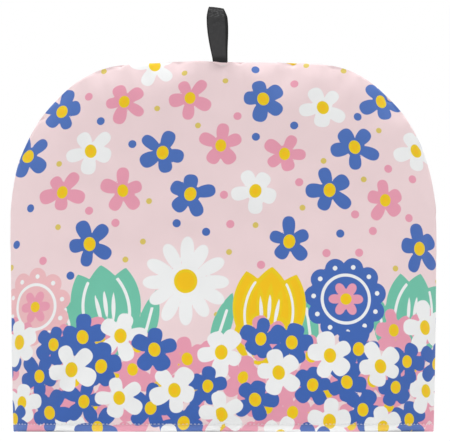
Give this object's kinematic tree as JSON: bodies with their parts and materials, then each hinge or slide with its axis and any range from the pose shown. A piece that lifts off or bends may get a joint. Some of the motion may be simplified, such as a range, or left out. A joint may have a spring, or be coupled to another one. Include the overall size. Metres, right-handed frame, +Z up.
{
  "type": "tea cosy",
  "caption": "Padded tea cosy of domed printed cloth panels sewn round their curved edge, open at the hem, with a folded tape loop at the crown.",
  "frame": {"origin": "middle of the footprint, on the surface that the hem stands on", "axes": "+Z up, -Y out of the printed front, +X to the right as seen from the front"},
  "size_m": [0.3408, 0.1018, 0.3398],
  "materials": {
    "printed_cloth": "matt printed cotton over padding",
    "dark_tape": "matt woven tape"
  },
  "bodies": {
    "root": {"front_panel": "printed_cloth", "back_panel": "printed_cloth", "hanging_loop": "dark_tape"}
  },
  "joints": []
}
